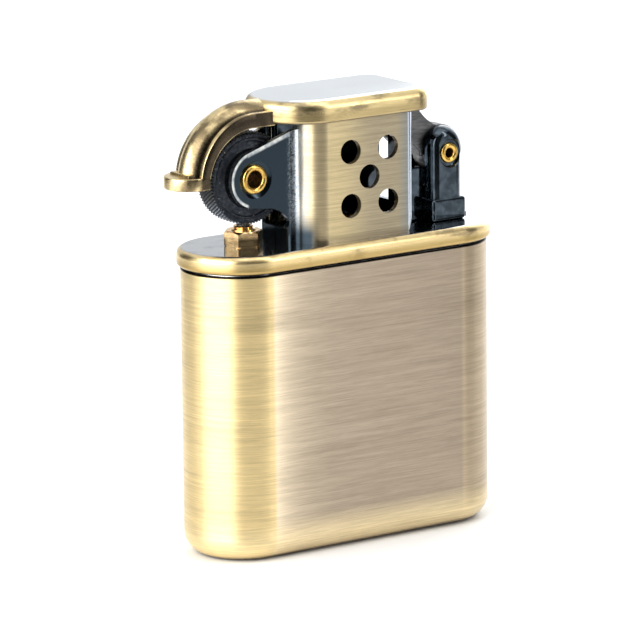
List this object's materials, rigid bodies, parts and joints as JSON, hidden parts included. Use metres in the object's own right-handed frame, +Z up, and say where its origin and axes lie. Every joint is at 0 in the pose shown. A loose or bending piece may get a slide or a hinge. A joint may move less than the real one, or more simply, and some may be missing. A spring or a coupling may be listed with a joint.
{
  "type": "lighter",
  "caption": "Lift-arm petrol pocket lighter: outer case, pull-out insert with wick, holed chimney, flint wheel, and a snuffer cap on a hinged arm.",
  "frame": {"origin": "centre of the flat base of the outer case", "axes": "+Z up, +X from the flint wheel towards the hinge, +Y to the back"},
  "size_m": [0.0458, 0.0152, 0.0553],
  "materials": {
    "brushed_brass": "antique brass plate, brushed lengthways",
    "plate_brass": "antique brass, brushed rim and polished top",
    "chimney_brass": "antique brass, brushed, darkened to black nickel at the ears",
    "cap_brass": "antique brass, brushed edges and polished top",
    "black_nickel": "polished black nickel",
    "arm_steel": "satin grey nickel",
    "rivet_brass": "bright gold-coloured brass",
    "fitting_brass": "machined brass",
    "wheel_steel": "black oxide, knurled",
    "washer_steel": "plain",
    "spring_steel": "spring wire and strip",
    "flint_alloy": "dull grey flint alloy",
    "tank_tin": "tinned sheet",
    "cotton": "loose cotton wadding",
    "felt": "pressed felt",
    "wick_cord": "braided cotton, charred at the tip"
  },
  "bodies": {
    "case": {"outer_case": "brushed_brass"},
    "insert": {"top_plate": "plate_brass", "fuel_tank": "tank_tin", "cotton_packing": "cotton", "felt_pad": "felt", "wick": "wick_cord", "wick_tube": "fitting_brass", "chimney": "chimney_brass", "chimney_rivets": "rivet_brass", "wheel_axle": "rivet_brass", "axle_washers": "washer_steel", "flint_tube": "fitting_brass", "flint_nut": "fitting_brass", "flint": "flint_alloy", "hinge_post": "black_nickel", "post_screws": "rivet_brass", "lid_stop": "black_nickel", "lid_spring": "spring_steel", "hinge_rivet": "rivet_brass", "hinge_washers": "washer_steel"},
    "lid": {"snuffer_cap": "cap_brass", "snuffer_pad": "felt", "thumb_lever": "cap_brass", "hinge_arm": "arm_steel", "hinge_bush": "rivet_brass", "arm_rivets": "rivet_brass"},
    "wheel": {"flint_wheel": "wheel_steel"},
    "flint_feed": {"flint_spring": "spring_steel", "flint_plunger": "fitting_brass"},
    "screw": {"flint_screw": "fitting_brass"}
  },
  "joints": [
    {"name": "insert_lift", "type": "slide", "parent": "case", "child": "insert", "axis": [0, 0, 1], "range_m": [0, 0.036]},
    {"name": "lid_hinge", "type": "hinge", "parent": "insert", "child": "lid", "pos_m": [0.0152, 0, 0.046], "axis": [0, 1, 0], "range_deg": [0, 95]},
    {"name": "wheel_spin", "type": "hinge", "parent": "insert", "child": "wheel", "pos_m": [-0.01345, 0, 0.04605], "axis": [0, 1, 0], "continuous": true},
    {"name": "screw_travel", "type": "slide", "parent": "insert", "child": "flint_feed", "axis": [0, 0, -1], "range_m": [0, 0.0016]},
    {"name": "screw_turn", "type": "hinge", "parent": "flint_feed", "child": "screw", "pos_m": [-0.01345, 0, 0.0037], "axis": [0, 0, -1], "range_deg": [0, 1440]}
  ],
  "couplings": [
    {"joint": "screw_turn", "follows": "screw_travel", "rad_per_m": 15708}
  ]
}
